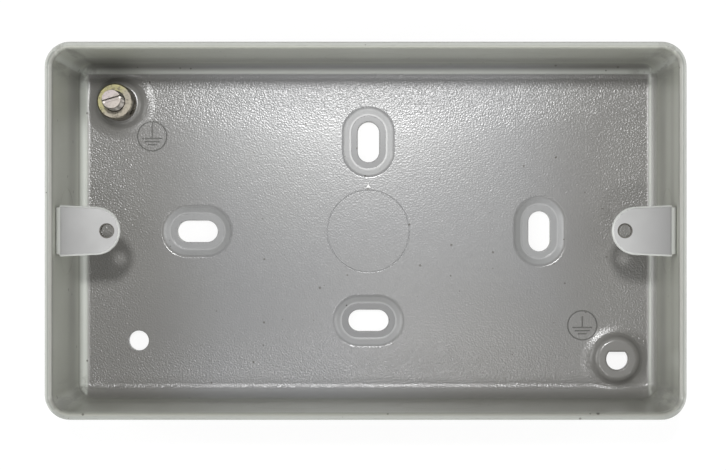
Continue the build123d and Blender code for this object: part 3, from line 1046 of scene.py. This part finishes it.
class BACKBOX_OT_stage(bpy.types.Operator):
    """Add the floor, the surroundings, the key and fill lamps, the four soft panels and the camera"""
    bl_idname = "backbox.stage"
    bl_label = "Stage"

    def execute(self, context):
        studio = context.scene.backbox_studio
        ground = bmesh.new()
        bmesh.ops.create_grid(ground, x_segments=1, y_segments=1, size=studio.floor_size / 2)
        floor = as_piece(ground, "stage_floor")
        floor.data.materials.append(stage_floor_material(studio))

        world = bpy.data.worlds.new("white_room")
        world.use_nodes = True
        tree = world.node_tree
        tree.nodes.clear()
        lighting = add(tree, "Background", {"Strength": studio.surroundings}).outputs[0]
        shown = add(tree, "Background", {"Strength": 1.0}).outputs[0]
        for background in tree.nodes:
            background.inputs["Color"].default_value = (1, 1, 1, 1)
        mixed = add(tree, "MixShader", {0: seen_ray(tree), 1: lighting, 2: shown}).outputs[0]
        add(tree, "OutputWorld", {"Surface": mixed})
        context.scene.world = world

        hang_lamp("key_lamp", studio.key_place, studio.key_size, studio.key_watts)
        hang_lamp("fill_lamp", studio.fill_place, studio.key_size, studio.fill_watts)
        panels = (
            ("left_panel", -1, 0, studio.left_watts),
            ("right_panel", 1, 0, studio.right_watts),
            ("upper_panel", 0, 1, studio.upper_watts),
            ("lower_panel", 0, -1, studio.lower_watts),
        )
        for name, x, y, watts in panels:
            place = Vector((x * studio.panel_distance, y * studio.panel_distance, studio.panel_height))
            hang_lamp(name, place, studio.panel_size, watts)

        view = bpy.data.cameras.new("camera")
        view.lens = studio.camera_lens
        view.sensor_width = 36
        view.shift_x = studio.camera_shift_x
        view.shift_y = studio.camera_shift_y
        view.clip_start = 0.01
        camera = bpy.data.objects.new("camera", view)
        camera.location = studio.camera_place
        context.scene.collection.objects.link(camera)
        context.scene.camera = camera
        context.scene.view_settings.view_transform = "Standard"
        return {"FINISHED"}


class BACKBOX_OT_shell(bpy.types.Operator):
    """Paint the drawn shell, round its edges, fill its scored rings and stamp its two earth marks"""
    bl_idname = "backbox.shell"
    bl_label = "Shell"

    def execute(self, context):
        settings = context.scene.backbox_shell
        shape = merged_copy("box_shell")
        fill_scores(shape)
        join_flats(shape)
        for height, reach in (
            (DISH_BOTTOM, settings.punched_round),
            (FLOOR_TOP, settings.punched_round),
            (BOSS_TOP, settings.drawn_round),
        ):
            round_edges(shape, level_edges(shape, height, UPRIGHT), reach)
        round_edges(shape, level_edges(shape, DISH_BOTTOM, SLOPED), settings.dish_round)
        round_edges(shape, level_edges(shape, NIB_TOP, UPRIGHT), settings.nib_round)
        shell = as_piece(shape, "shell")
        marks = ((settings.mark_left, settings.mark_radius), (settings.mark_right, settings.short_stem))
        for centre, stem_high in marks:
            cut(shell, mark_cutter(settings, centre, stem_high))
        round_normals(shell)
        paint = shell_paint(context.scene.backbox_paint, (settings.mark_left, settings.mark_right))
        dress(shell, paint, "box", "shell_paint", "box_shell")
        return {"FINISHED"}


class BACKBOX_OT_lugs(bpy.types.Operator):
    """Paint the two lugs, widen their roots, round their edges and tap their screw holes"""
    bl_idname = "backbox.lugs"
    bl_label = "Lugs"

    def execute(self, context):
        settings = context.scene.backbox_lugs
        paint = lug_paint(context.scene.backbox_paint)
        for side, node in ((-1, "lug_left"), (1, "lug_right")):
            shape = merged_copy(node)
            root = LUG_HIGH.x - settings.root_reach
            for vert in shape.verts:
                if abs(vert.co.x) > root and abs(vert.co.y) < settings.root_half:
                    vert.co.y *= settings.leg_stretch
            join_flats(shape)
            hole = Vector((side * FACEPLATE_SCREW_X, 0))
            edges = [
                edge for edge in shape.edges
                if len(edge.link_faces) == 2 and edge.calc_face_angle() > radians(LUG_EDGE_DEGREES)
                and min((vert.co.to_2d() - hole).length for vert in edge.verts) > SHARP_HOLE
            ]
            round_edges(shape, edges, settings.edge_round)
            lug = as_piece(shape, "tapped_" + node)
            overrun = 2 * settings.thread_pitch
            tap = threaded_rod(
                settings.thread_radius, settings.thread_radius - settings.core_radius, settings.thread_pitch,
                LUG_HIGH.z - LUG_SHEET - overrun, LUG_HIGH.z + overrun,
            )
            bmesh.ops.translate(tap, verts=tap.verts, vec=(*hole, 0))
            cut(lug, as_mesh(tap, "tap"))
            smooth(lug)
            dress(lug, paint, "box", "lug_paint", node)
        return {"FINISHED"}


class BACKBOX_OT_earth_post(bpy.types.Operator):
    """Turn the riveted brass post and draw its mouth in to the screw"""
    bl_idname = "backbox.earth_post"
    bl_label = "Earth terminal post"

    def execute(self, context):
        settings = context.scene.backbox_terminal
        shape = merged_copy("earth_terminal_post")
        axis = TERMINAL_AXIS.to_2d()
        for vert in shape.verts:
            out = vert.co.to_2d() - axis
            if vert.co.z > POST_HIGH.z - SAME_PLACE and out.length < settings.old_mouth:
                vert.co.xy = axis + out.normalized() * settings.mouth_radius
        post = as_piece(shape, "turned_post")
        smooth(post)
        brass = metal(
            # The bore's colour is a painted shade; the oxide colour also lays painted shade on the lower
            # right side
            "turned_brass", settings.brass, settings.tarnish, settings.bore_painted_shade,
            painted_light_top=POST_HIGH.z - 0.1 * MM, painted_light_radii=(-1 * MM, 2.75 * MM),
            roughness=0.5, pitch=0.12 * MM, depth=0.004 * MM, pitting=0.6,
        )
        dress(post, brass, "box", "post_brass", "earth_terminal_post")
        return {"FINISHED"}


class BACKBOX_OT_earth_screw(bpy.types.Operator):
    """Make the threaded clamping screw"""
    bl_idname = "backbox.earth_screw"
    bl_label = "Earth terminal screw"

    def execute(self, context):
        settings = context.scene.backbox_terminal
        rod = threaded_rod(
            settings.screw_radius, settings.thread_depth, settings.thread_pitch,
            SCREW_LOW.z, SCREW_HIGH.z, chamfer=settings.end_chamfer,
        )
        screw = as_piece(rod, "clamping_screw")
        slot = bmesh.new()
        size = (4 * settings.screw_radius, settings.slot_width, 2 * settings.slot_depth)
        place = Matrix.Translation((0, 0, SCREW_HIGH.z)) @ Matrix.Rotation(settings.slot_angle, 4, "Z")
        bmesh.ops.create_cube(slot, size=1, matrix=place @ Matrix.Diagonal((*size, 1)))
        cut(screw, as_mesh(slot, "driver_slot"))
        screw.data.transform(Matrix.Translation((TERMINAL_AXIS.x, TERMINAL_AXIS.y, 0)))
        smooth(screw)
        plated = metal(
            # The thread's paler colour is a painted light; the oxide colour also lays painted shade on the
            # lower right side
            "plated_screw", settings.plating, settings.tarnish, settings.thread_painted_light,
            painted_light_top=SCREW_HIGH.z - settings.end_chamfer, painted_light_radii=(1.8 * MM, 4 * MM),
            roughness=0.42, pitch=0.15 * MM, depth=0.003 * MM, pitting=0.25,
            slot=(settings.slot_angle, settings.slot_width / 2, SCREW_HIGH.z),
        )
        dress(screw, plated, "terminal_screw", "screw_steel", "earth_terminal_screw")
        return {"FINISHED"}


class BACKBOX_PT_pieces(bpy.types.Panel):
    """Pieces of the back box and their sizes and colours"""
    bl_label = "Back box"
    bl_idname = "BACKBOX_PT_pieces"
    bl_space_type = "VIEW_3D"
    bl_region_type = "UI"
    bl_category = "Back box"

    def draw(self, context):
        for operator in OPERATORS:
            self.layout.operator(operator.bl_idname)
        for name in SETTINGS:
            settings = getattr(context.scene, name)
            for label in settings.bl_rna.properties.keys():
                if label not in {"rna_type", "name"}:
                    self.layout.prop(settings, label)


SETTINGS = {
    "backbox_paint": BackBoxPaint,
    "backbox_shell": BackBoxShell,
    "backbox_lugs": BackBoxLugs,
    "backbox_terminal": BackBoxTerminal,
    "backbox_studio": BackBoxStudio,
}
OPERATORS = (
    BACKBOX_OT_stage,
    BACKBOX_OT_shell,
    BACKBOX_OT_lugs,
    BACKBOX_OT_earth_post,
    BACKBOX_OT_earth_screw,
)
CLASSES = (*SETTINGS.values(), *OPERATORS, BACKBOX_PT_pieces)


def register():
    for each in CLASSES:
        bpy.utils.register_class(each)
    for name, group in SETTINGS.items():
        setattr(bpy.types.Scene, name, PointerProperty(type=group))


def unregister():
    for name in SETTINGS:
        delattr(bpy.types.Scene, name)
    for each in reversed(CLASSES):
        bpy.utils.unregister_class(each)


def main():
    register()
    for operator in OPERATORS:
        getattr(bpy.ops.backbox, operator.bl_idname.split(".")[1])()


if __name__ == "__main__":
    main()
